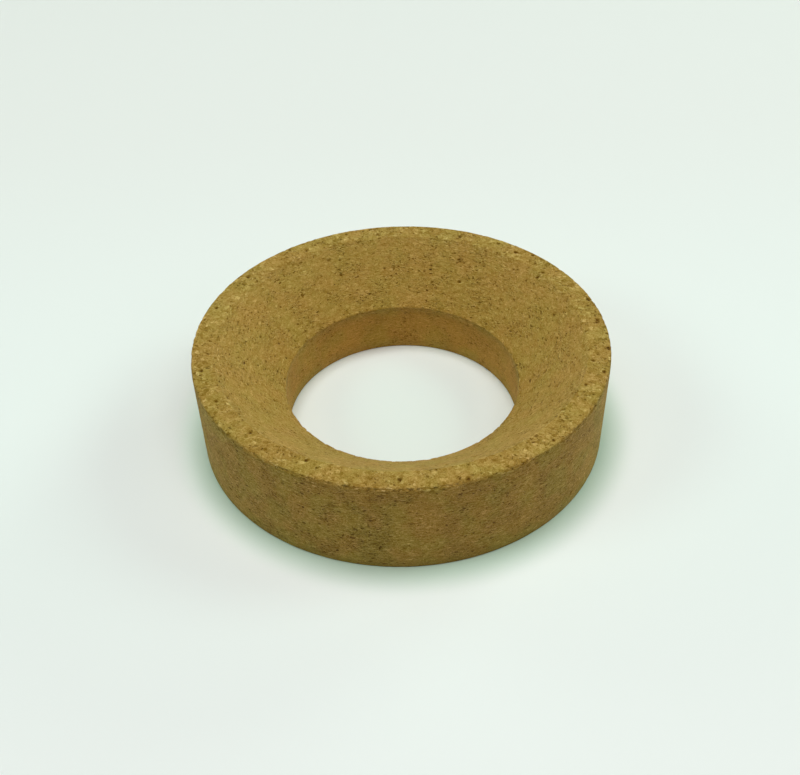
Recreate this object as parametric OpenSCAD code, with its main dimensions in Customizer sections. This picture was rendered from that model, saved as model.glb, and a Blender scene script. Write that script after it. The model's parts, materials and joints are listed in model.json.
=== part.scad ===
// Cork ring: a stand that keeps a round-bottomed flask upright.
// One piece of pressed cork, turned about Z, standing on its base at Z = 0.
// Sizes are in millimetres.

/* [Ring] */
// Outer diameter at the rim
ring_d = 120; // [96:1:200]
// Height from the base to the rim
ring_h = 30; // [18:1:60]
// How far the outer wall leans in on its way down to the base, on each side
wall_draft = 0.6; // [0:0.1:4]

/* [Bore] */
// Diameter of the straight hole through the ring
bore_d = 69.5; // [20:0.5:100]
// Height of the straight hole, from the base up to the seat
bore_h = 15.5; // [4:0.5:28]

/* [Rim] */
// Width of the flat rim, from the outer wall to the seat
rim_w = 6.5; // [3:0.5:20]

/* [Edges] */
// Radius of the edge between the rim and the outer wall
rim_edge_r = 0.8; // [0.2:0.1:2.5]
// Radius of the edge between the outer wall and the base
base_edge_r = 0.4; // [0.2:0.1:2.5]

/* [Hidden] */

// Radii of the section's corners, from the middle outwards
bore_r = bore_d / 2;
seat_r = ring_d / 2 - rim_w;
base_r = ring_d / 2 - wall_draft;
rim_r = ring_d / 2;

// Facets of a full turn about Z, and of a full turn of an edge
turn_facets = 180;
edge_facets = 32;

// Quarter disc that fills the corner of a section up to a round edge
module quarter_round(r) {
    intersection() {
        circle(r = r, $fn = edge_facets);
        square(r);
    }
}

// Half section of the ring, with its bore on the left and its outer wall on the right
module ring_section() {
    polygon([
        [bore_r, 0],
        [base_r - base_edge_r, 0],
        [base_r - base_edge_r, base_edge_r],
        [base_r, base_edge_r],
        [rim_r, ring_h - rim_edge_r],
        [rim_r - rim_edge_r, ring_h - rim_edge_r],
        [rim_r - rim_edge_r, ring_h],
        [seat_r, ring_h],
        [bore_r, bore_h]
    ]);
    translate([rim_r - rim_edge_r, ring_h - rim_edge_r])
        quarter_round(rim_edge_r);
    translate([base_r - base_edge_r, base_edge_r])
        mirror([0, 1]) quarter_round(base_edge_r);
}

// The ring: flat base, straight bore, sloping seat and flat rim in one solid
module cork_ring() {
    color([0.62, 0.51, 0.25])
        rotate_extrude($fn = turn_facets) ring_section();
}

cork_ring();
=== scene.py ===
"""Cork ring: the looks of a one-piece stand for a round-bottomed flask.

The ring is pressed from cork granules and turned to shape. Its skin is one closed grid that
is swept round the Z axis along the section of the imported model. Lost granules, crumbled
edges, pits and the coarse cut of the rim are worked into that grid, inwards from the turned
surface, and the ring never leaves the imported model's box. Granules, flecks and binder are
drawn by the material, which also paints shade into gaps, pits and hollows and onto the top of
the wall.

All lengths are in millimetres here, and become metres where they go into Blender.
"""

import itertools
import json
import logging
import math
from dataclasses import dataclass, field
from enum import Enum
from typing import Any, Mapping, Sequence

import bpy
import numpy as np
from mathutils import Matrix, Vector


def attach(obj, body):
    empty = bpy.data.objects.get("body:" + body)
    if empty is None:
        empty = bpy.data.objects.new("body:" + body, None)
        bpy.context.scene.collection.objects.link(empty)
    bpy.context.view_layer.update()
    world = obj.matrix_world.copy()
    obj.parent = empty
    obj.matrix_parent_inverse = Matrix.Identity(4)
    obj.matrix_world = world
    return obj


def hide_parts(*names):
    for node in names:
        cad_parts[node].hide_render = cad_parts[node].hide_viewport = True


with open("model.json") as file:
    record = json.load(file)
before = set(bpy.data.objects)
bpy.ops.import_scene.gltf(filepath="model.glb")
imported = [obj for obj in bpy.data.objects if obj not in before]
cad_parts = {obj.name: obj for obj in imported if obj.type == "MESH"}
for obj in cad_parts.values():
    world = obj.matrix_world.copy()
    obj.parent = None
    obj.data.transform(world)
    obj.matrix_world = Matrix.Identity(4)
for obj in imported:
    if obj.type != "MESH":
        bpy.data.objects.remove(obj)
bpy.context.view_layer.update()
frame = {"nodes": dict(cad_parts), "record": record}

LOG = logging.getLogger("cork_ring")
METRES = 0.001  # metres in a millimetre
RGB = tuple[float, float, float]
Place = tuple[float, float, float]
Array = np.ndarray


# ---------------------------------------------------------------- noise on whole arrays


HASH_PRIMES = (73856093, 19349663, 83492791)  # one for each coordinate
SEED_PRIME = 2654435761
STREAM_STEP = 0x9E3779B97F4A7C15  # sets the three numbers of a place apart
HASH_ROUNDS = ((30, 0xBF58476D1CE4E5B9), (27, 0x94D049BB133111EB))  # shift and product


def hashed(lattice: Array, seed: int) -> Array:
    """Random numbers that belong to lattice points, the same on each run.

    The three whole coordinates are multiplied by large primes and mixed by shifts and
    products, as a hash function does.

    Args:
        lattice: whole-number coordinates, shape (n, 3).
        seed: chooses one of many independent sets.

    Returns:
        Numbers from 0 to 1, shape (n, 3).
    """
    whole = lattice.astype(np.int64).astype(np.uint64)
    mixed = np.full(len(whole), seed * SEED_PRIME % 2**32, dtype=np.uint64)
    for axis, prime in enumerate(HASH_PRIMES):
        mixed ^= whole[:, axis] * np.uint64(prime)
    columns = []
    for stream in (1, 2, 3):
        value = mixed + np.uint64(stream * STREAM_STEP % 2**64)
        for shift, factor in HASH_ROUNDS:
            value = (value ^ (value >> np.uint64(shift))) * np.uint64(factor)
        value ^= value >> np.uint64(31)
        columns.append((value >> np.uint64(11)).astype(float) / 2.0**53)
    return np.stack(columns, axis=1)


def soft_noise(places: Array, cell: float, seed: int) -> Array:
    """Smooth random hills: lattice values blended by a fifth-power fade between points.

    Args:
        places: points in millimetres, shape (n, 3).
        cell: distance between lattice points.
        seed: chooses the pattern.

    Returns:
        Numbers from 0 to 1 with a mean near a half, shape (n,).
    """
    scaled = places / cell
    corner = np.floor(scaled)
    part = scaled - corner
    fade = part**3 * (part * (part * 6 - 15) + 10)
    total = np.zeros(len(places))
    for offset in itertools.product((0, 1), repeat=3):
        chosen = np.where(np.array(offset) == 1, fade, 1 - fade)
        total += hashed(corner + offset, seed)[:, 0] * chosen.prod(axis=1)
    return total


def ramp(values: Array, low: float, high: float) -> Array:
    """S-shaped step: 0 below low, 1 above high, 3t^2 - 2t^3 between them."""
    part = np.clip((values - low) / (high - low), 0, 1)
    return part * part * (3 - 2 * part)


def near(distance: Array, reach: float) -> Array:
    """1 at no distance, fading by a bell curve to 1 / e at the reach."""
    return np.exp(-((distance / reach) ** 2))


@dataclass(frozen=True)
class Granules:
    """Cork granules as the cells of a random point set, flattened along the press's axis.

    Attributes:
        width: usual size across the press's axis.
        height: usual size along it.
        seed: chooses the point set.
    """

    width: float
    height: float
    seed: int

    def cells(self, places: Array) -> tuple[Array, Array]:
        """Finds the granule that each place lies in.

        Each box of a lattice holds one random centre. The two nearest centres among the
        box and its 26 neighbours give the distances F1 and F2, and F2 - F1 is small where
        two granules meet.

        Args:
            places: points in millimetres, shape (n, 3).

        Returns:
            F2 - F1 in cells, shape (n,), and the granule's three random numbers, (n, 3).
        """
        scaled = places / (self.width, self.width, self.height)
        home = np.floor(scaled)
        nearest = np.full(len(places), np.inf)
        second = nearest.copy()
        own = np.zeros((len(places), 3))
        for offset in itertools.product((-1, 0, 1), repeat=3):
            box = home + offset
            away = np.linalg.norm(box + hashed(box, self.seed) - scaled, axis=1)
            closer = away < nearest
            second = np.where(closer, nearest, np.minimum(second, away))
            nearest = np.where(closer, away, nearest)
            own = np.where(closer[:, None], hashed(box, self.seed + 1), own)
        return second - nearest, own


# ---------------------------------------------------------------- the ring's section


class Band(Enum):
    """The surfaces of the ring, in the order in which the section passes them."""

    BASE = "base"
    WALL = "wall"
    RIM = "rim"
    SEAT = "seat"
    BORE = "bore"


@dataclass(frozen=True)
class Cut:
    """How one surface was cut, which sets how rough its granules stand.

    Attributes:
        row_gap: distance between the grid's rows along the section.
        coarse: 0 for a smooth turned face to 1 for one with open, crumbly granules.
        contrast: how strongly light and dark grains differ, 1 for the rim.
        warm: how far its colour leans to a light red-brown.
        mottled: how strongly its patches of hue differ.
        pitted: how dark its specks and gaps are.
        level: how far apart neighbouring granules stand.
        groove: depth of the gap where two granules meet.
        lost: share of the granules that have fallen out.
        hole: depth that a lost granule leaves.
        map_share: share of the bake map's scale that the surface gets.
    """

    row_gap: float
    coarse: float
    contrast: float
    warm: float
    mottled: float
    pitted: float
    level: float
    groove: float
    lost: float
    hole: float
    map_share: float = 1.0


CUTS: Mapping[Band, Cut] = {
    Band.BASE: Cut(
        row_gap=4.0, coarse=0.40, contrast=0.60, warm=0.20, mottled=0.70, pitted=0.80,
        level=0.02, groove=0.01, lost=0.010, hole=0.10, map_share=0.45,
    ),
    Band.WALL: Cut(
        row_gap=0.74, coarse=0.35, contrast=1.50, warm=0.50, mottled=1.50, pitted=0.80,
        level=0.03, groove=0.03, lost=0.012, hole=0.25,
    ),
    Band.RIM: Cut(
        row_gap=0.34, coarse=1.00, contrast=1.06, warm=0.10, mottled=0.70, pitted=0.72,
        level=0.10, groove=0.08, lost=0.035, hole=0.40,
    ),
    Band.SEAT: Cut(
        row_gap=0.62, coarse=0.45, contrast=1.00, warm=0.25, mottled=0.55, pitted=0.85,
        level=0.03, groove=0.03, lost=0.012, hole=0.22,
    ),
    Band.BORE: Cut(
        row_gap=0.85, coarse=0.10, contrast=0.98, warm=1.00, mottled=1.00, pitted=0.75,
        level=0.02, groove=0.02, lost=0.004, hole=0.15,
    ),
}


@dataclass(frozen=True)
class Marks:
    """Single pits or pale chips, strewn at random over a stretch of one surface.

    Attributes:
        band: the surface that they lie on.
        count: how many there are.
        turn: the stretch's first and last azimuth, in degrees from +X towards +Y.
        across: the stretch's first and last share of the way across the surface.
        width: radius of the smallest and of the largest.
        seed: chooses the draws.
    """

    band: Band
    count: int
    turn: tuple[float, float]
    across: tuple[float, float]
    width: tuple[float, float]
    seed: int

    def strength(self, places: Array, start: Array, end: Array) -> Array:
        """How much of a mark each place gets.

        The stretch is shared out evenly round the axis, and each mark draws its azimuth in
        its own part, its place across the surface and its radius. At a distance d it has the
        strength exp(-(d / radius)^3), a bell curve with a flat top.

        Args:
            places: points in millimetres, shape (n, 3).
            start: the surface's first corner, as (distance from the axis, height).
            end: its last corner.

        Returns:
            0 away from the marks to about 1 inside one, shape (n,).
        """
        number = np.arange(self.count)
        draws = hashed(np.repeat(number[:, None], 3, axis=1), self.seed)
        way = (number + draws[:, 0]) / self.count
        turn, share, widths = (
            least + (most - least) * part
            for (least, most), part in (
                (np.radians(self.turn), way),
                (self.across, draws[:, 1]),
                (self.width, draws[:, 2]),
            )
        )
        away, height = (start + (end - start) * share[:, None]).T
        centres = np.stack([away * np.cos(turn), away * np.sin(turn), height], axis=1)
        total = np.zeros(len(places))
        for centre, width in zip(centres, widths):
            apart = np.linalg.norm(places - centre, axis=1)
            total += np.exp(-((apart / width) ** 3))
        return total


FULL_TURN = (0.0, 360.0)
FRONT = (225.0, 340.0)
RIGHT = (-30.0, 60.0)
PITS: tuple[Marks, ...] = (
    Marks(Band.RIM, count=18, turn=FULL_TURN, across=(0.1, 0.85), width=(0.42, 0.55), seed=41),
    Marks(Band.RIM, count=6, turn=RIGHT, across=(0.1, 0.40), width=(0.48, 0.60), seed=46),
    Marks(Band.SEAT, count=9, turn=FULL_TURN, across=(0.0, 0.8), width=(0.42, 0.50), seed=42),
    Marks(Band.WALL, count=6, turn=FULL_TURN, across=(0.1, 0.95), width=(0.40, 0.45), seed=43),
)
CHIPS: tuple[Marks, ...] = (
    Marks(Band.RIM, count=12, turn=FRONT, across=(0.05, 0.8), width=(0.65, 0.95), seed=44),
    Marks(Band.SEAT, count=3, turn=FULL_TURN, across=(0.1, 0.9), width=(0.50, 0.80), seed=45),
)


@dataclass(frozen=True)
class RingSizes:
    """The ring's sizes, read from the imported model.

    Attributes:
        rim_r: radius of the outer wall at the rim.
        base_r: radius of the outer wall at the base.
        height: from base to rim.
        seat_r: radius of the seat's mouth.
        bore_r: radius of the bore.
        bore_h: height of the bore.
        rim_edge_r: radius of the edge between rim and wall.
        base_edge_r: radius of the edge between wall and base.
    """

    rim_r: float
    base_r: float
    height: float
    seat_r: float
    bore_r: float
    bore_h: float
    rim_edge_r: float
    base_edge_r: float

    @classmethod
    def of_node(cls, node: str) -> "RingSizes":
        """Reads the sizes off the node's corners and the record's bore.

        Args:
            node: name of the ring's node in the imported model.

        Returns:
            The ring's sizes in millimetres.
        """
        mesh = frame["nodes"][node].data
        places = np.zeros(len(mesh.vertices) * 3)
        mesh.vertices.foreach_get("co", places)
        places = places.reshape(-1, 3) / METRES
        away = np.hypot(places[:, 0], places[:, 1])
        height = places[:, 2].max()
        hair = 0.01  # how far off level a flat face's corners may lie
        on_rim = away[places[:, 2] > height - hair]
        on_base = away[places[:, 2] < hair]
        low_wall = away[places[:, 2] < 0.1 * height].max()
        bore = next(m for m in frame["record"]["mounts"] if m["name"] == "bore")
        return cls(
            rim_r=away.max(),
            base_r=low_wall,
            height=height,
            seat_r=on_rim.min(),
            bore_r=bore["dims"]["r_mm"],
            bore_h=bore["dims"]["length_mm"],
            rim_edge_r=away.max() - on_rim.max(),
            base_edge_r=low_wall - on_base.max(),
        )


@dataclass(frozen=True)
class Section:
    """The ring's half section as rows of the grid.

    Attributes:
        radius: distance of each row from the axis.
        height: height of each row.
        out: unit normal of each row, as (away from the axis, up), shape (rows, 2).
        band: the surface of each row.
        along: distance of each row from the first, measured along the section.
    """

    radius: Array
    height: Array
    out: Array
    band: list[Band]
    along: Array


@dataclass(frozen=True)
class Corner:
    """A corner of the section, and the surface that starts there.

    Attributes:
        place: (distance from the axis, height).
        worn: radius that the corner is worn to.
        band: the surface from here to the next corner.
    """

    place: tuple[float, float]
    worn: float
    band: Band


ARC_STEPS = 4  # grid rows across a worn corner, less one


def section_rows(corners: Sequence[Corner]) -> Section:
    """Lays rows along a closed outline with rounded corners.

    A corner is rounded by the circle of its radius r that touches both sides. With a turn
    of t between the sides, the touching points lie r tan(t / 2) from the corner, and the
    normal turns evenly along the arc. Between two arcs the rows are spread evenly.

    Args:
        corners: the outline's corners, anticlockwise as seen with the axis on the left.

    Returns:
        The rows, without a repeat of the first.
    """
    spots = np.array([c.place for c in corners])
    sides = np.roll(spots, -1, axis=0) - spots
    sides /= np.linalg.norm(sides, axis=1)[:, None]
    normals = np.stack([sides[:, 1], -sides[:, 0]], axis=1)
    angles = np.arctan2(normals[:, 1], normals[:, 0])
    turns = (angles - np.roll(angles, 1)) % (2 * np.pi)
    trims = np.array([c.worn for c in corners]) * np.tan(turns / 2)
    rows, outs, bands = [], [], []
    for i, corner in enumerate(corners):
        after = (i + 1) % len(corners)
        centre = spots[i] + trims[i] * sides[i] - corner.worn * normals[i]
        facing = angles[i] - turns[i] * np.linspace(1, 0, ARC_STEPS + 1)
        arc_out = np.stack([np.cos(facing), np.sin(facing)], axis=1)
        rows.append(centre + corner.worn * arc_out)
        outs.append(arc_out)
        before = corners[i - 1].band
        rough = max(corner.band, before, key=lambda band: CUTS[band].coarse)
        bands += [rough] * (ARC_STEPS + 1)
        start = spots[i] + trims[i] * sides[i]
        end = spots[after] - trims[after] * sides[i]
        span = np.linalg.norm(end - start)
        count = max(2, round(span / CUTS[corner.band].row_gap))
        share = np.linspace(0, 1, count + 1)[1:-1, None]
        rows.append(start + (end - start) * share)
        outs.append(np.repeat(normals[i : i + 1], len(share), axis=0))
        bands += [corner.band] * len(share)
    places, out = np.concatenate(rows), np.concatenate(outs)
    steps = np.linalg.norm(np.diff(places, axis=0), axis=1)
    return Section(places[:, 0], places[:, 1], out, bands, np.concatenate([[0], steps.cumsum()]))


# ---------------------------------------------------------------- shader maths


@dataclass(frozen=True)
class Signal:
    """A number or colour in a material, with Python's operators as its Math nodes."""

    sheet: "NodeSheet"
    socket: bpy.types.NodeSocket

    def __add__(self, other: "Signal | float") -> "Signal":
        """This plus other."""
        return self.sheet.math("ADD", self, other)

    def __radd__(self, other: float) -> "Signal":
        """Other plus this."""
        return self.sheet.math("ADD", other, self)

    def __sub__(self, other: "Signal | float") -> "Signal":
        """This minus other."""
        return self.sheet.math("SUBTRACT", self, other)

    def __rsub__(self, other: float) -> "Signal":
        """Other minus this."""
        return self.sheet.math("SUBTRACT", other, self)

    def __mul__(self, other: "Signal | float") -> "Signal":
        """This times other."""
        return self.sheet.math("MULTIPLY", self, other)

    def __rmul__(self, other: float) -> "Signal":
        """Other times this."""
        return self.sheet.math("MULTIPLY", other, self)

    def step(self, low: float, high: float) -> "Signal":
        """S-shaped step from 0 at low to 1 at high, which may be the lower of the two.

        Args:
            low: the value that gives 0.
            high: the value that gives 1.

        Returns:
            The step.
        """
        node = self.sheet.node(
            "ShaderNodeMapRange",
            {"interpolation_type": "SMOOTHSTEP"},
            {"Value": self, "From Min": low, "From Max": high},
        )
        return Signal(self.sheet, node.outputs["Result"])


class NodeSheet:
    """The node tree of one material or world, filled from Python expressions."""

    def __init__(self, owner: bpy.types.Material | bpy.types.World, output: str) -> None:
        """Empties the owner's node tree.

        Args:
            owner: the material or world.
            output: Blender type of its output node.
        """
        owner.use_nodes = True
        self.owner = owner
        self.output = output
        self.tree = owner.node_tree
        self.tree.nodes.clear()

    @classmethod
    def of_material(cls, name: str) -> "NodeSheet":
        """The sheet of a new material."""
        return cls(bpy.data.materials.new(name), "ShaderNodeOutputMaterial")

    @classmethod
    def of_world(cls, name: str) -> "NodeSheet":
        """The sheet of a new world."""
        return cls(bpy.data.worlds.new(name), "ShaderNodeOutputWorld")

    def node(
        self,
        kind: str,
        settings: Mapping[str, Any] | None = None,
        sockets: Mapping[str | int, Any] | None = None,
    ) -> bpy.types.Node:
        """Adds a node.

        Args:
            kind: the node's Blender type.
            settings: its properties, set first; "stops" gives a colour ramp's stops.
            sockets: a value or Signal for each input, by name or number.

        Returns:
            The node.
        """
        node = self.tree.nodes.new(kind)
        for key, value in (settings or {}).items():
            if key == "stops":
                self._set_stops(node.color_ramp, value)
            else:
                setattr(node, key, value)
        for key, value in (sockets or {}).items():
            if isinstance(value, Signal):
                self.tree.links.new(value.socket, node.inputs[key])
            else:
                node.inputs[key].default_value = value
        return node

    @staticmethod
    def _set_stops(ramp_: bpy.types.ColorRamp, stops: Sequence[tuple[float, RGB]]) -> None:
        """Gives a colour ramp its stops.

        Args:
            ramp_: the ramp.
            stops: position and colour of each stop, in order.
        """
        while len(ramp_.elements) < len(stops):
            ramp_.elements.new(1.0)
        for element, (place, colour) in zip(ramp_.elements, stops):
            element.position = place
            element.color = (*colour, 1.0)

    def math(self, operation: str, *values: Signal | float) -> Signal:
        """Adds a Math node and returns its value."""
        node = self.node("ShaderNodeMath", {"operation": operation}, dict(enumerate(values)))
        return Signal(self, node.outputs[0])

    def vector(self, operation: str, *values: Signal | Place) -> Signal:
        """Adds a Vector Math node on two vectors and returns its vector."""
        node = self.node("ShaderNodeVectorMath", {"operation": operation}, dict(enumerate(values)))
        return Signal(self, node.outputs["Vector"])

    def scaled(self, vector: Signal, amount: Signal | float) -> Signal:
        """Multiplies a vector or colour by a number.

        Args:
            vector: the vector or colour.
            amount: the number, 1 for no change.

        Returns:
            The longer or shorter vector, or the lighter or darker colour.
        """
        node = self.node(
            "ShaderNodeVectorMath", {"operation": "SCALE"}, {0: vector, "Scale": amount}
        )
        return Signal(self, node.outputs["Vector"])

    def length(self, vector: Signal) -> Signal:
        """The length of a vector."""
        node = self.node("ShaderNodeVectorMath", {"operation": "LENGTH"}, {0: vector})
        return Signal(self, node.outputs["Value"])

    def blend(self, share: Signal | float, first: Signal | RGB, second: Signal | RGB) -> Signal:
        """Mixes two colours.

        Args:
            share: 0 for the first colour to 1 for the second.
            first: a colour.
            second: a colour.

        Returns:
            The mixed colour.
        """
        colours = [c if isinstance(c, Signal) else (*c, 1.0) for c in (first, second)]
        node = self.node(
            "ShaderNodeMix",
            {"data_type": "RGBA", "clamp_factor": True},
            {"Factor": share, 6: colours[0], 7: colours[1]},
        )
        return Signal(self, node.outputs[2])

    def noise(self, place: Signal, size: float, detail: float = 0.0) -> Signal:
        """Fractal noise.

        Args:
            place: where to read it, in millimetres.
            size: usual width of its patches.
            detail: how many finer layers it has.

        Returns:
            The noise, from about -1 to 1 with a mean of 0.
        """
        node = self.node(
            "ShaderNodeTexNoise",
            {"normalize": False},
            {"Vector": place, "Scale": 1 / size, "Detail": detail},
        )
        return Signal(self, node.outputs["Fac"])

    def cells(self, place: Signal, size: float) -> tuple[list[Signal], Signal]:
        """Random cells, as granules are.

        Args:
            place: where to read them, in millimetres.
            size: usual width of a cell.

        Returns:
            Each cell's three random numbers, and the distance from its middle in cells.
        """
        node = self.node("ShaderNodeTexVoronoi", {}, {"Vector": place, "Scale": 1 / size})
        colour = Signal(self, node.outputs["Color"])
        parts = self.node("ShaderNodeSeparateColor", {}, {"Color": colour}).outputs
        return [Signal(self, part) for part in parts], Signal(self, node.outputs["Distance"])

    def spots(self, place: Signal, spread: "Spread", share: Signal | float = 1.0) -> Signal:
        """Scattered spots: a random share of the cells of a point set holds one each.

        A spot is 1 up to its own random radius from its cell's middle, and fades to 0
        just past it. The spread's shift gives each kind of spot its own cells.

        Args:
            place: where to read them, in millimetres.
            spread: how the spots are spread.
            share: scales the share of cells that hold a spot.

        Returns:
            1 in a spot and 0 elsewhere.
        """
        own_place = self.vector("ADD", place, spread.shift)
        (chance, width, _), away = self.cells(own_place, spread.gap)
        radius = spread.small + width * (spread.large - spread.small)
        inside = (radius - away * spread.gap).step(-spread.fade, spread.fade)
        return inside * (share * spread.share - chance).step(0.0, 0.01)

    def attribute(self, name: str) -> Signal:
        """A number that the mesh holds for each corner, by its name."""
        node = self.node("ShaderNodeAttribute", {"attribute_name": name})
        return Signal(self, node.outputs["Fac"])

    def place(self) -> Signal:
        """The surface's place on the object, in millimetres."""
        node = self.node("ShaderNodeTexCoord")
        return self.scaled(Signal(self, node.outputs["Object"]), 1 / METRES)

    def along(self, axis: str, place: Signal) -> Signal:
        """One of a place's coordinates, by its axis."""
        parts = self.node("ShaderNodeSeparateXYZ", {}, {"Vector": place})
        return Signal(self, parts.outputs[axis])

    def finish(self, shader: bpy.types.Node) -> Any:
        """Links a shader to the output.

        Args:
            shader: the finished shader.

        Returns:
            The material or world.
        """
        output = self.node(self.output)
        self.tree.links.new(shader.outputs[0], output.inputs["Surface"])
        return self.owner


# ---------------------------------------------------------------- the cork


@dataclass(frozen=True)
class Effect:
    """What one feature of the cork does to it.

    Attributes:
        tone: how far it lightens the cork, in display steps.
        relief: how far it stands out, in millimetres.
    """

    tone: float
    relief: float = 0.0


@dataclass(frozen=True)
class Spread:
    """How spots are spread through the cork, in millimetres.

    Attributes:
        gap: usual distance between the places where a spot can be.
        share: share of those places that hold one.
        small: radius of the smallest spots.
        large: radius of the largest spots.
        fade: half the width of a spot's soft edge.
        shift: moves its cells away from those of the other spreads.
        effect: what a spot does.
    """

    gap: float
    share: float
    small: float
    large: float
    fade: float
    shift: Place
    effect: Effect


def linear(steps: float) -> float:
    """Light that a display gives for a step from 0 to 255, by the sRGB curve."""
    part = max(steps, 0.0) / 255
    return part / 12.92 if part <= 0.04045 else ((part + 0.055) / 1.055) ** 2.4


WHITE: RGB = (1.0, 1.0, 1.0)
# What the mesh tells the material at each point: traits of a cut, and a tone to add, which holds
# pale chips, the seat's change of tone and painted shade in pits, hollows and on the wall's top.
CORK_NUMBERS = ("coarse", "contrast", "warm", "mottled", "pitted", "stain")


@dataclass(frozen=True)
class PressedCork:
    """Bare pressed cork: granules pressed flat, dark specks, painted shade in gaps, patches of hue.

    A tone is counted in display steps that lighten or darken red, green and blue alike.

    Attributes:
        middle: colour at tone 0, in display steps of 255.
        darkening: how far each channel follows a dark tone.
        reach: the darkest and lightest tone.
        flattening: how many times lower than wide the granules are.
        granule_size: width of a granule.
        grain_size: width of a grain of cork dust.
        sway: width of the bends in the granules' outlines, and how far they reach.
        granules: from the darkest granule to the palest, and from its edge to its middle.
        pale: how much lighter still the palest fifth of the granules is.
        dark: how much darker still the darkest seventh is.
        grains: the same as granules, for the grains of dust.
        dust: what the finest noise does.
        ripple: what the noise as wide as a granule does.
        streak: what the marks of turning do on a smooth surface.
        ground: tone of a smooth surface, and how much lower a coarse one's is.
        specks: fine dark grains.
        glints: fine pale grains.
        gaps: small gaps between granules, darkened by painted shade.
        pores: larger gaps, darkened by painted shade as well.
        chips: pale granules.
        olive: share of each light channel that the greenest patches return.
        russet: share of each light channel that the reddest patches return.
        flushed: the same for a surface that is warm all over.
        sheen: colour of the faint sheen.
    """

    middle: RGB = (153.5, 125.0, 54.5)
    darkening: RGB = (0.965, 1.0, 1.08)
    reach: float = 75.0
    flattening: float = 2.5
    granule_size: float = 1.30
    grain_size: float = 0.55
    sway: tuple[float, float] = (1.25, 1.6)
    granules: Effect = Effect(12.0, 0.07)
    pale: Effect = Effect(12.0)
    dark: Effect = Effect(-14.0)
    grains: Effect = Effect(22.0, 0.045)
    dust: Effect = Effect(20.0, 0.025)
    ripple: Effect = Effect(8.0, 0.10)
    streak: Effect = Effect(3.0)
    ground: tuple[float, float] = (5.4, 4.0)
    specks: Spread = Spread(1.00, 0.46, 0.15, 0.34, 0.04, (0, 0, 0), Effect(-50.0, -0.14))
    glints: Spread = Spread(1.20, 0.22, 0.14, 0.32, 0.04, (0, 50, 50), Effect(20.0))
    # painted shade: gaps and pores are darkened on top of their sunk relief
    gaps: Spread = Spread(1.80, 0.34, 0.22, 0.50, 0.06, (0, 0, 50), Effect(-48.0, -0.18))
    pores: Spread = Spread(4.00, 0.40, 0.32, 0.70, 0.08, (50, 0, 0), Effect(-52.0, -0.20))
    chips: Spread = Spread(1.60, 0.28, 0.34, 0.74, 0.08, (0, 50, 0), Effect(24.0, 0.08))
    olive: RGB = (0.965, 1.027, 0.97)
    russet: RGB = (1.035, 0.973, 1.02)
    flushed: RGB = (1.29, 1.09, 0.86)
    sheen: RGB = (0.90, 1.0, 0.70)

    def stops(self) -> list[tuple[float, RGB]]:
        """Turns the tones into the stops of a colour ramp.

        Returns:
            Position and colour of nine stops, from the darkest tone to the lightest.
        """
        tones = np.linspace(-self.reach, self.reach, 9)
        return [
            (
                (tone / self.reach + 1) / 2,
                tuple(
                    linear(channel + tone * (share if tone < 0 else 1.0))
                    for channel, share in zip(self.middle, self.darkening)
                ),
            )
            for tone in tones
        ]

    def material(self) -> bpy.types.Material:
        """Builds the material.

        Returns:
            The material, which reads the mesh's numbers by their names.
        """
        sheet = NodeSheet.of_material("pressed_cork")
        place = sheet.place()
        coarse, contrast, warm, mottled, pitted, stain = (
            sheet.attribute(name) for name in CORK_NUMBERS
        )
        bent = self.bent(sheet, place)
        (tone_of, hue_of, _), away = sheet.cells(bent, self.granule_size)
        (grit_of, _, _), grit_away = sheet.cells(bent, self.grain_size)
        dust = sheet.noise(sheet.vector("MULTIPLY", place, (1.0, 1.0, 1.5)), 0.30)
        crowd = sheet.noise(place, 7.0, 1.0).step(-0.5, 0.5)
        porous = 0.25 + 1.25 * crowd
        ripple = sheet.noise(sheet.vector("MULTIPLY", bent, (1.0, 1.0, 1.3)), 0.85, 1.0)
        ripple *= 0.55 + 0.9 * crowd
        glint = sheet.spots(bent, self.glints)
        chip = sheet.spots(bent, self.chips)
        holes = [
            (sheet.spots(bent, spread, porous), spread.effect)
            for spread in (self.specks, self.gaps, self.pores)
        ]

        tone = (tone_of - 0.5) * self.granules.tone
        tone += tone_of.step(0.80, 1.0) * self.pale.tone
        tone += tone_of.step(0.14, 0.0) * self.dark.tone
        tone *= 0.35 + coarse * 0.6
        tone += (grit_of - 0.5) * self.grains.tone + dust * self.dust.tone
        tone += self.ground[0] - coarse * self.ground[1]
        tone += chip * (0.15 + coarse * 0.85) * self.chips.effect.tone
        tone += glint * self.glints.effect.tone
        tone += self.turned(sheet, place) * (1 - coarse) * self.streak.tone
        tone += ripple * self.ripple.tone
        # specks are dark grains; the darkening of gaps and pores is painted shade
        tone += sum(hole * effect.tone for hole, effect in holes) * pitted
        # the mesh's added tone holds pale chips and painted shade
        tone = tone * contrast + stain

        relief = dust * self.dust.relief + (0.5 - grit_away) * self.grains.relief
        relief += (0.6 - away) * coarse * self.granules.relief + ripple * self.ripple.relief
        relief += chip * coarse * self.chips.effect.relief
        relief += sum(hole * effect.relief for hole, effect in holes) * pitted
        bump = sheet.node(
            "ShaderNodeBump",
            {},
            {"Strength": 1.0, "Distance": METRES, "Height": relief * contrast},
        )

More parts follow.
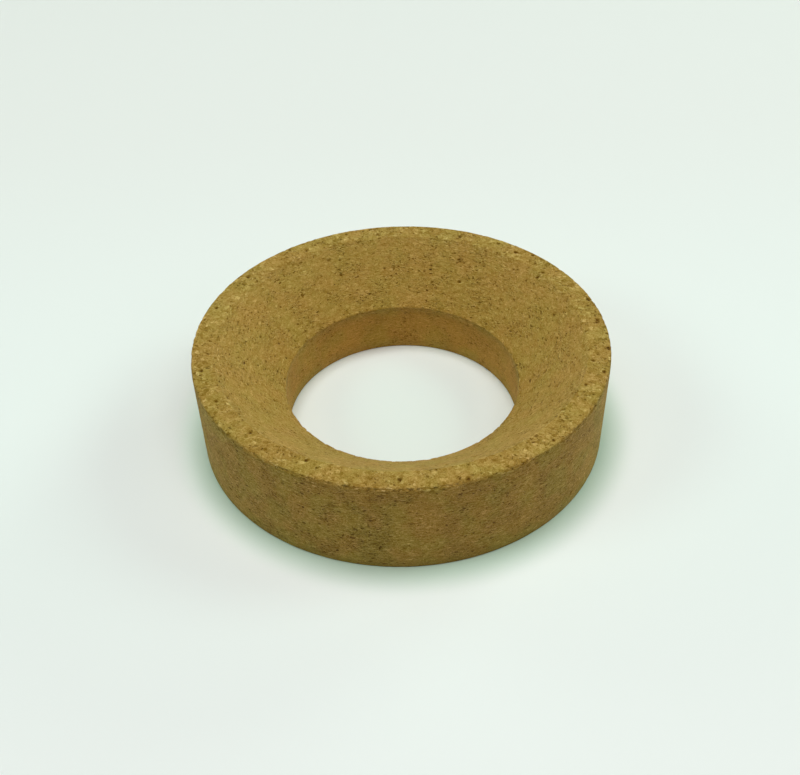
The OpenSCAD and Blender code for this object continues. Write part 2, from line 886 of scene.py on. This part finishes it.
        share = tone * (0.5 / self.reach) + 0.5
        toned = sheet.node("ShaderNodeValToRGB", {"stops": self.stops()}, {"Fac": share})
        blush = sheet.noise(sheet.vector("ADD", place, (90.0, 0.0, 0.0)), 8.0, 1.0)
        hue = blush * mottled * 1.25 + (hue_of - 0.5) * 0.35 + warm * 0.25
        tint = sheet.blend(hue.step(-0.6, 0.6), self.olive, self.russet)
        colour = sheet.vector("MULTIPLY", Signal(sheet, toned.outputs["Color"]), tint)
        colour = sheet.vector("MULTIPLY", colour, sheet.blend(warm, WHITE, self.flushed))
        shader = sheet.node(
            "ShaderNodeBsdfPrincipled",
            {},
            {
                "Base Color": colour,
                "Roughness": 0.92 - tone_of * 0.08,
                "Specular IOR Level": 0.2,
                "Sheen Weight": 0.04,
                "Sheen Roughness": 0.5,
                "Sheen Tint": (*self.sheen, 1.0),
                "Normal": Signal(sheet, bump.outputs["Normal"]),
            },
        )
        return sheet.finish(shader)

    def bent(self, sheet: NodeSheet, place: Signal) -> Signal:
        """Bends the place, which makes granules flat and lets their outlines wander.

        The height is multiplied by the flattening, and noise is added to the whole place.

        Args:
            sheet: the material's sheet.
            place: the surface's place, in millimetres.

        Returns:
            The bent place.
        """
        pressed = sheet.vector("MULTIPLY", place, (1.0, 1.0, self.flattening))
        width, reach = self.sway
        noise = sheet.node(
            "ShaderNodeTexNoise", {}, {"Vector": pressed, "Scale": 1 / width, "Detail": 1.0}
        )
        sway = sheet.scaled(Signal(sheet, noise.outputs["Color"]), reach)
        return sheet.vector("ADD", pressed, sway)

    def turned(self, sheet: NodeSheet, place: Signal) -> Signal:
        """The marks of turning: noise that is long round the axis and fine across it.

        It is read at (distance from the axis, height, 0) x 2.2 plus a small share of the
        level place, so it changes fast across the cut and slowly along it.

        Args:
            sheet: the material's sheet.
            place: the surface's place, in millimetres.

        Returns:
            The noise, from about -1 to 1.
        """
        level = sheet.vector("MULTIPLY", place, (1.0, 1.0, 0.0))
        across = sheet.node(
            "ShaderNodeCombineXYZ",
            {},
            {"X": sheet.length(level) * 2.2, "Y": sheet.along("Z", place) * 2.2, "Z": 0.0},
        )
        around = sheet.scaled(level, 0.09)
        return sheet.noise(sheet.vector("ADD", Signal(sheet, across.outputs[0]), around), 1.0)

# ---------------------------------------------------------------- the ring


@dataclass(frozen=True)
class EdgeWear:
    """How one edge has worn, with how far from it, in millimetres, each effect reaches.

    Attributes:
        crumbs: share of the crumbs lost at the back, what the front adds, and reach.
        worn: depth of the even wear at the front, and reach.
        frayed: how much coarser the cork is, and reach.
    """

    crumbs: tuple[float, float, float]
    worn: tuple[float, float]
    frayed: tuple[float, float]


RIM_EDGE = EdgeWear(crumbs=(0.2, 2.4, 0.9), worn=(0.34, 0.7), frayed=(0.35, 1.6))
BORE_EDGE = EdgeWear(crumbs=(0.9, 0.0, 0.8), worn=(0.0, 0.7), frayed=(0.45, 1.0))
CRUMBS = ((2.4, 0.10, 21), (0.9, 0.22, 22))  # size, depth and seed of both kinds of crumb
CUT_BLEND = 1.8  # how far the cuts of neighbouring surfaces blend
SWAY_SIZE = 1.3  # width of the bends in the granules' outlines
SWAY_REACH = 0.5  # how far they reach
MEETING = 0.30  # how near to its neighbour a granule starts to sink, in cells
DUST_SIZE = 0.6  # width of the finest grain
DUST_DEPTH = 0.04  # its depth on a coarse surface
PIT_DEPTH = 0.55
# painted shade: pits, dented into the mesh, are darkened as well
PIT_PAINTED_SHADE = -85.0  # this and the next tones are in display steps, on top of the cork's own
CHIP_TONE = 18.0
# painted shade in the hollow that a lost granule leaves
HOLLOW_PAINTED_SHADE = -14.0  # where a granule has fallen out
SEAT_TONE = 7.0  # how much lighter the seat's mouth is than its foot
# painted shade: the wall is darkened towards its top
WALL_PAINTED_SHADE = -8.0  # the same for the wall's top and its foot


@dataclass
class CorkRing:
    """The ring's skin: one closed grid swept round the axis along the section.

    Attributes:
        sizes: the ring's sizes.
        columns: steps of the grid round the axis.
        bore_drift: how far the bore has drawn in, gone oval and moved along X.
        granules: the granules that stand out or have fallen out.
        finish: the cork.
    """

    sizes: RingSizes
    columns: int = 720
    bore_drift: tuple[float, float, float] = (0.14, -0.37, 0.18)
    granules: Granules = field(default_factory=lambda: Granules(1.5, 0.85, 11))
    finish: PressedCork = field(default_factory=PressedCork)

    def corners(self) -> list[Corner]:
        """The section's corners, from the bore's foot outwards and up.

        Returns:
            The corners, each with the surface that follows it.
        """
        size = self.sizes
        return [
            Corner((size.bore_r, 0.0), worn=0.35, band=Band.BASE),
            Corner((size.base_r, 0.0), worn=size.base_edge_r, band=Band.WALL),
            Corner((size.rim_r, size.height), worn=0.55 * size.rim_edge_r, band=Band.RIM),
            Corner((size.seat_r, size.height), worn=1.0, band=Band.SEAT),
            Corner((size.bore_r, size.bore_h), worn=0.25, band=Band.BORE),
        ]

    def traits(self, section: Section) -> dict[str, Array]:
        """Each row's cut, blended over about a millimetre where two surfaces meet.

        Args:
            section: the grid's rows.

        Returns:
            One number a row for each trait of a cut.
        """
        names = ("coarse", "contrast", "warm", "mottled", "pitted", "level", "groove", "lost", "hole")
        raw = np.array([[getattr(CUTS[b], name) for name in names] for b in section.band])
        length = section.along[-1]
        gap = np.abs(section.along[:, None] - section.along[None])
        gap = np.minimum(gap, length - gap)
        weight = near(gap, CUT_BLEND)
        blended = weight @ raw / weight.sum(axis=1)[:, None]
        return dict(zip(names, blended.T))

    def carved(self, places: Array, section: Section) -> tuple[Array, dict[str, Array]]:
        """Works out how deep each point of the grid lies under the turned surface.

        Args:
            places: points of the turned surface, shape (rows * columns, 3).
            section: the grid's rows.

        Returns:
            The depth of each point, and the numbers that the cork's material reads.
        """
        trait = {k: np.repeat(v, self.columns) for k, v in self.traits(section).items()}
        depth, gone = self.granulated(places, trait)
        worn, frayed = self.worn(places)
        pits = self.marked(places, PITS)
        chips = self.marked(places, CHIPS)
        depth += worn + DUST_DEPTH * trait["coarse"] * soft_noise(places, DUST_SIZE, 31)
        depth += PIT_DEPTH * np.minimum(pits, 1.0)
        # pale chips are lighter cork; the darkening of pits, hollows and the wall's top is painted
        # shade
        stain = CHIP_TONE * chips + PIT_PAINTED_SHADE * pits + HOLLOW_PAINTED_SHADE * gone + self.painted_wall_shade_and_seat_ramp(places)
        trait |= {"coarse": trait["coarse"] + frayed, "stain": stain}
        return depth, {name: trait[name] for name in CORK_NUMBERS}

    def granulated(self, places: Array, trait: Mapping[str, Array]) -> tuple[Array, Array]:
        """Works out the depth that the granules give.

        A granule stands at its own random level, sinks towards its neighbours, and leaves a
        hole if it has fallen out.

        Args:
            places: points of the turned surface, shape (n, 3).
            trait: the traits of the cut at each of them.

        Returns:
            The depths, and 1 where a granule has fallen out and 0 elsewhere, shape (n,).
        """
        sway = [soft_noise(places, SWAY_SIZE, seed) - 0.5 for seed in (3, 4, 5)]
        meet, own = self.granules.cells(places + SWAY_REACH * np.stack(sway, axis=1))
        inside = ramp(meet, 0.0, MEETING)
        gone = ramp(own[:, 1], 1 - trait["lost"] - 0.001, 1 - trait["lost"]) * inside
        depth = trait["level"] * (1 - own[:, 0]) * inside + trait["groove"] * (1 - inside)
        depth += trait["hole"] * gone * (0.5 + own[:, 2] * 0.5)
        return depth, gone

    def worn(self, places: Array) -> tuple[Array, Array]:
        """Works out the wear of the rim's outer edge and of the bore's upper edge.

        Soft noise takes crumbs from both, and the rim's edge is worn most at the front.

        Args:
            places: points of the turned surface, shape (n, 3).

        Returns:
            The depth of the wear, and how much coarser it leaves the cork, shape (n,).
        """
        size = self.sizes
        away = np.hypot(places[:, 0], places[:, 1])
        front = 0.5 - 0.5 * np.sin(np.arctan2(places[:, 1], places[:, 0]))
        crumbs = sum(
            deep * ramp(soft_noise(places, width, seed), 0.60, 0.90)
            for width, deep, seed in CRUMBS
        )
        depth, frayed = np.zeros((2, len(places)))
        for wear, edge_r, edge_h in (
            (RIM_EDGE, size.rim_r, size.height),
            (BORE_EDGE, size.bore_r, size.bore_h),
        ):
            apart = np.hypot(away - edge_r, places[:, 2] - edge_h)
            at_back, more_in_front, reach = wear.crumbs
            depth += crumbs * (at_back + more_in_front * front) * near(apart, reach)
            depth += wear.worn[0] * front**2 * near(apart, wear.worn[1])
            frayed += wear.frayed[0] * near(apart, wear.frayed[1])
        return depth, frayed

    def painted_wall_shade_and_seat_ramp(self, places: Array) -> Array:
        """Works out the tone that changes evenly up the seat, and the painted shade darkening the
        wall's top.

        Args:
            places: points of the turned surface, shape (n, 3).

        Returns:
            The tone of each point, 0 off the seat and the wall, shape (n,).
        """
        size = self.sizes
        away = np.hypot(places[:, 0], places[:, 1])
        up_seat = (away - size.bore_r) / (size.seat_r - size.bore_r)
        on_seat = (up_seat > 0) & (up_seat < 1) & (places[:, 2] > size.bore_h)
        up_wall = places[:, 2] / size.height
        on_wall = ramp(away, size.base_r - 1.0, size.base_r - 0.3) * (up_wall < 0.99)
        # the seat's part grows lighter towards its mouth; the wall's part is painted shade
        return SEAT_TONE * (up_seat - 0.5) * on_seat + WALL_PAINTED_SHADE * up_wall * on_wall

    def marked(self, places: Array, groups: Sequence[Marks]) -> Array:
        """How much of a single pit or chip each place gets.

        Args:
            places: points in millimetres, shape (n, 3).
            groups: the marks.

        Returns:
            0 away from the marks to about 1 inside one, shape (n,).
        """
        corners = self.corners()
        total = np.zeros(len(places))
        for marks in groups:
            first = next(i for i, corner in enumerate(corners) if corner.band is marks.band)
            last = (first + 1) % len(corners)
            ends = [np.array(corners[i].place) for i in (first, last)]
            total += marks.strength(places, *ends)
        return total

    def build(self) -> bpy.types.Object:
        """Makes the ring's mesh and dresses it.

        A point of the grid is (r cos a, r sin a, z), with r and z from its row and a from
        its column, less its depth along the row's normal.

        Returns:
            The ring's object.
        """
        section = section_rows(self.corners())
        rows, columns = len(section.radius), self.columns
        turn = np.arange(columns) * (2 * np.pi / columns)
        cos, sin = np.cos(turn), np.sin(turn)

        def swept(outward: Array, up: Array) -> Array:
            """Sweeps one pair of numbers for each row round the axis.

            Args:
                outward: how far each row's vector goes outwards, shape (rows,).
                up: how far it goes up, shape (rows,).

            Returns:
                The vectors, shape (rows * columns, 3).
            """
            flat = np.stack([np.outer(outward, cos), np.outer(outward, sin)], axis=-1)
            tall = np.repeat(up[:, None, None], columns, axis=1)
            return np.concatenate([flat, tall], axis=-1).reshape(-1, 3)

        places = swept(section.radius, section.height)
        depth, numbers = self.carved(places, section)
        drift = self.out_of_round(turn) * self.near_bore(section)[:, None]
        places[:, :2] *= 1 + drift.reshape(-1, 1)
        places -= swept(section.out[:, 0], section.out[:, 1]) * depth[:, None]
        ring = grid_object("cork_ring_skin", places * METRES, self.quads(rows))
        for name, values in numbers.items():
            layer = ring.data.attributes.new(name, "FLOAT", "POINT")
            layer.data.foreach_set("value", values.astype(np.float32))
        self.lay_bake_map(ring.data, section)
        ring.data.materials.append(self.finish.material())
        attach(ring, "root")
        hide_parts("cork_ring")
        return ring

    def near_bore(self, section: Section) -> Array:
        """How much each row shares the bore's shape: 1 in the bore, 0 at mouth and wall."""
        far = np.where(section.height > 1.0, self.sizes.seat_r, self.sizes.base_r)
        return np.clip((far - section.radius) / (far - self.sizes.bore_r), 0, 1)

    def out_of_round(self, turn: Array) -> Array:
        """The bore's change of radius, as a share of it, for each angle round the axis.

        The cork has drawn in across X since it was turned, so the change has a constant
        part, a part that goes twice round with the cosine of double the angle, and a part
        that goes once round, where the bore lies off the axis.

        Args:
            turn: angles from the X axis.

        Returns:
            The changes, of the same length.
        """
        drawn_in, oval, off_axis = self.bore_drift
        change = oval * np.cos(2 * turn) + off_axis * np.cos(turn) - drawn_in
        return change / self.sizes.bore_r

    def quads(self, rows: int) -> Array:
        """Corner numbers of the grid's faces, closed both round the axis and the section.

        Args:
            rows: number of rows.

        Returns:
            Four vertex numbers a face, ordered so that faces point out, shape (faces, 4).
        """
        row, column = np.meshgrid(np.arange(rows), np.arange(self.columns), indexing="ij")
        next_row, next_column = (row + 1) % rows, (column + 1) % self.columns
        pairs = [(row, column), (row, next_column), (next_row, next_column), (next_row, column)]
        return np.stack([(r * self.columns + c).ravel() for r, c in pairs], axis=1)

    def lay_bake_map(self, mesh: bpy.types.Mesh, section: Section) -> None:
        """Unrolls the skin for baking, as two half turns, one above the other.

        The way round the axis runs along U, and the way along the section runs up V.

        Args:
            mesh: the ring's mesh.
            section: the grid's rows.
        """
        rows, columns, half = len(section.radius), self.columns, self.columns // 2
        gaps = np.diff(section.along, append=section.along[-1] + CUTS[Band.BASE].row_gap)
        gaps *= [CUTS[band].map_share for band in section.band]
        climb = np.concatenate([[0], gaps.cumsum()])
        climb /= climb[-1]
        row, column = np.meshgrid(np.arange(rows), np.arange(columns), indexing="ij")
        margin = 0.004
        strip = column // half
        left = (column % half) / half
        spread = 1 - 2 * margin
        across = [margin + spread * left, margin + spread * (left + 1 / half)]
        tall = 0.5 - 2 * margin
        up = [margin + 0.5 * strip + tall * climb[row + step] for step in (0, 1)]
        corners = [(across[0], up[0]), (across[1], up[0]), (across[1], up[1]), (across[0], up[1])]
        places = np.stack([np.stack(corner, axis=-1) for corner in corners], axis=2)
        layer = mesh.uv_layers.new(name="OFBake")
        layer.data.foreach_set("uv", places.reshape(-1).astype(np.float32))


def grid_object(name: str, places: Array, faces: Array) -> bpy.types.Object:
    """Puts a mesh of quads into the scene, smoothly shaded.

    Args:
        name: the object's name.
        places: the vertices in metres, shape (n, 3).
        faces: four vertex numbers a face, shape (m, 4).

    Returns:
        The new object, at the origin.
    """
    mesh = bpy.data.meshes.new(name)
    mesh.vertices.add(len(places))
    mesh.vertices.foreach_set("co", places.reshape(-1).astype(np.float32))
    mesh.loops.add(faces.size)
    mesh.loops.foreach_set("vertex_index", faces.reshape(-1).astype(np.int32))
    mesh.polygons.add(len(faces))
    mesh.polygons.foreach_set("loop_start", np.arange(0, faces.size, 4, dtype=np.int32))
    mesh.polygons.foreach_set("use_smooth", np.ones(len(faces), dtype=bool))
    mesh.update(calc_edges=True)
    mesh.validate()
    thing = bpy.data.objects.new(name, mesh)
    bpy.context.scene.collection.objects.link(thing)
    return thing


# ---------------------------------------------------------------- the studio


@dataclass(frozen=True)
class StudioCamera:
    """The camera, by where it stands and what it looks at.

    Attributes:
        place: where it stands.
        aim: the point that it looks at.
        roll: how far it is turned about its own view, in degrees.
        lens: focal length on a sensor 36 mm wide.
    """

    place: Place = (0.1, -267.63, 240.77)
    aim: Place = (-0.589, 14.09, 0.0)
    roll: float = 1.614
    lens: float = 53.37

    def build(self) -> None:
        """Makes the camera and gives it to the scene."""
        ahead = (Vector(self.aim) - Vector(self.place)).normalized()
        level = ahead.cross(Vector((0, 0, 1))).normalized()
        lean = math.radians(self.roll)
        right = level * math.cos(lean) + ahead.cross(level) * math.sin(lean)
        up = right.cross(ahead)
        turn = Matrix((right, up, -ahead)).transposed().to_4x4()
        data = bpy.data.cameras.new("camera")
        data.lens = self.lens
        data.sensor_width = 36.0
        data.clip_start = 0.01
        camera = bpy.data.objects.new("camera", data)
        camera.matrix_world = Matrix.Translation(Vector(self.place) * METRES) @ turn
        bpy.context.scene.collection.objects.link(camera)
        bpy.context.scene.camera = camera


LAMP_DISTANCE = 2.0  # metres
CEILING: RGB = (1.02, 0.99, 1.01)  # light from above
WINDOW: RGB = (0.98, 0.93, 0.90)  # light from the front
ROOM: RGB = (0.82, 1.12, 0.97)  # light from the sides, greener


@dataclass(frozen=True)
class SoftLamp:
    """A round soft lamp that faces the ring.

    Attributes:
        name: the lamp's name.
        elevation: its height above the table, in degrees.
        azimuth: its direction, in degrees from +X towards +Y.
        power: its power in watts.
        colour: its colour.
        width: its diameter, in metres.
    """

    name: str
    elevation: float
    azimuth: float
    power: float
    colour: RGB
    width: float = 0.80

    def build(self) -> None:
        """Makes the lamp."""
        data = bpy.data.lights.new(self.name, "AREA")
        data.shape = "DISK"
        data.size = self.width
        data.energy = self.power
        data.color = self.colour
        up, round_ = math.radians(self.elevation), math.radians(self.azimuth)
        towards = Vector(
            (math.cos(up) * math.cos(round_), math.cos(up) * math.sin(round_), math.sin(up))
        )
        lamp = bpy.data.objects.new(self.name, data)
        lamp.location = towards * LAMP_DISTANCE
        lamp.rotation_euler = (-towards).to_track_quat("-Z", "Y").to_euler()
        lamp.visible_camera = False
        bpy.context.scene.collection.objects.link(lamp)


@dataclass(frozen=True)
class Studio:
    """The pale table with its painted light and shade, the pale surroundings and the lamps.

    Attributes:
        ring_r: radius of the ring's wall, in millimetres.
        table_tone: colour of the table.
        back_tone: painted shade, a darker colour of the table behind the ring.
        back_fade: distances behind the axis where that colour starts and is full.
        front_tone: painted light, a lighter colour of the table in front of the ring.
        front_fade: the same distances for it, less than 0 since they lie in front.
        shade_tone: a painted shade, darker and greener, on the table where the ring shades it.
        shade_reach: how far that painted shade reaches from the ring's wall, in millimetres.
        inner_shade: share of that painted shade that the table inside the bore gets.
        backdrop_tone: light of the far table and of the surroundings.
        backdrop_fade: distances from the axis where the table takes on that light.
        table_reach: half the side of the table, in metres.
        lamps: the lamps.
    """

    ring_r: float
    table_tone: RGB = (0.84, 0.885, 0.855)
    back_tone: RGB = (0.818, 0.832, 0.803)
    back_fade: tuple[float, float] = (0.0, 200.0)
    front_tone: RGB = (0.868, 0.885, 0.869)
    front_fade: tuple[float, float] = (-30.0, -140.0)
    shade_tone: RGB = (0.68, 0.84, 0.73)
    shade_reach: float = 11.0
    inner_shade: float = 0.25
    backdrop_tone: RGB = (0.805, 0.855, 0.805)
    backdrop_fade: tuple[float, float] = (450.0, 900.0)
    table_reach: float = 2.0
    lamps: tuple[SoftLamp, ...] = (
        SoftLamp("ceiling", elevation=84, azimuth=120, power=21.8, colour=CEILING, width=0.90),
        SoftLamp("high_right", elevation=65, azimuth=320, power=6.0, colour=WINDOW),
        SoftLamp("high_left", elevation=65, azimuth=225, power=2.4, colour=WINDOW),
        SoftLamp("front_right", elevation=35, azimuth=330, power=2.2, colour=WINDOW),
        SoftLamp("right", elevation=38, azimuth=15, power=7.0, colour=ROOM),
        SoftLamp("left", elevation=38, azimuth=195, power=6.2, colour=ROOM),
        SoftLamp("low_right", elevation=15, azimuth=45, power=8.0, colour=ROOM),
        SoftLamp("low_left", elevation=15, azimuth=145, power=4.5, colour=ROOM),
    )

    def build(self) -> None:
        """Makes the table, the surroundings and the lamps."""
        self.table()
        self.surroundings()
        for lamp in self.lamps:
            lamp.build()

    def table(self) -> None:
        """Makes the table that the ring stands on, a square with painted light and shade that glows
        towards its far edge.
        """
        reach = self.table_reach
        square = np.array([(-1, -1, 0), (1, -1, 0), (1, 1, 0), (-1, 1, 0)]) * reach
        table = grid_object("table", square, np.array([[0, 1, 2, 3]]))
        sheet = NodeSheet.of_material("pale_table")
        place = sheet.place()
        away = sheet.length(place)
        back = sheet.along("Y", place)
        # painted light and shade: the table is lighter in front of the ring and darker behind it
        tone = sheet.blend(back.step(*self.back_fade), self.table_tone, self.back_tone)
        tone = sheet.blend(back.step(*self.front_fade), tone, self.front_tone)
        # painted shade: the table is darkened and turned greener round the ring's foot and, more
        # faintly, inside the bore
        painted_ring_shade = sheet.math("ABSOLUTE", away - self.ring_r).step(self.shade_reach, 0.0)
        painted_ring_shade += away.step(self.ring_r, 0.0) * self.inner_shade
        lit = sheet.node(
            "ShaderNodeBsdfPrincipled",
            {},
            {
                "Base Color": sheet.blend(painted_ring_shade, tone, self.shade_tone),
                "Roughness": 0.9,
                "Specular IOR Level": 0.2,
            },
        )
        glow = sheet.node("ShaderNodeEmission", {}, {"Color": (*self.backdrop_tone, 1.0)})
        shader = sheet.node(
            "ShaderNodeMixShader",
            {},
            {
                0: away.step(*self.backdrop_fade),
                1: Signal(sheet, lit.outputs[0]),
                2: Signal(sheet, glow.outputs[0]),
            },
        )
        table.data.materials.append(sheet.finish(shader))

    def surroundings(self) -> None:
        """Fills the world with the far table's light for the eye, and lights nothing by it."""
        sheet = NodeSheet.of_world("surroundings")
        seen = sheet.node("ShaderNodeBackground", {}, {"Color": (*self.backdrop_tone, 1.0)})
        unlit = sheet.node("ShaderNodeBackground", {}, {"Strength": 0.0})
        path = sheet.node("ShaderNodeLightPath")
        looks = [
            Signal(sheet, path.outputs[f"Is {kind} Ray"])
            for kind in ("Camera", "Glossy", "Transmission")
        ]
        mask = sheet.math("MAXIMUM", sheet.math("MAXIMUM", looks[0], looks[1]), looks[2])
        shader = sheet.node(
            "ShaderNodeMixShader",
            {},
            {0: mask, 1: Signal(sheet, unlit.outputs[0]), 2: Signal(sheet, seen.outputs[0])},
        )
        bpy.context.scene.world = sheet.finish(shader)


def main() -> None:
    """Builds the studio and the ring, and reports each."""
    logging.basicConfig(level=logging.INFO, format="%(name)s: %(message)s")
    bpy.context.scene.view_settings.view_transform = "Standard"
    sizes = RingSizes.of_node("cork_ring")
    StudioCamera().build()
    Studio(sizes.base_r).build()
    ring = CorkRing(sizes).build()
    LOG.info("%s: %d vertices, %d faces", ring.name, len(ring.data.vertices), len(ring.data.polygons))


if __name__ == "__main__":
    main()
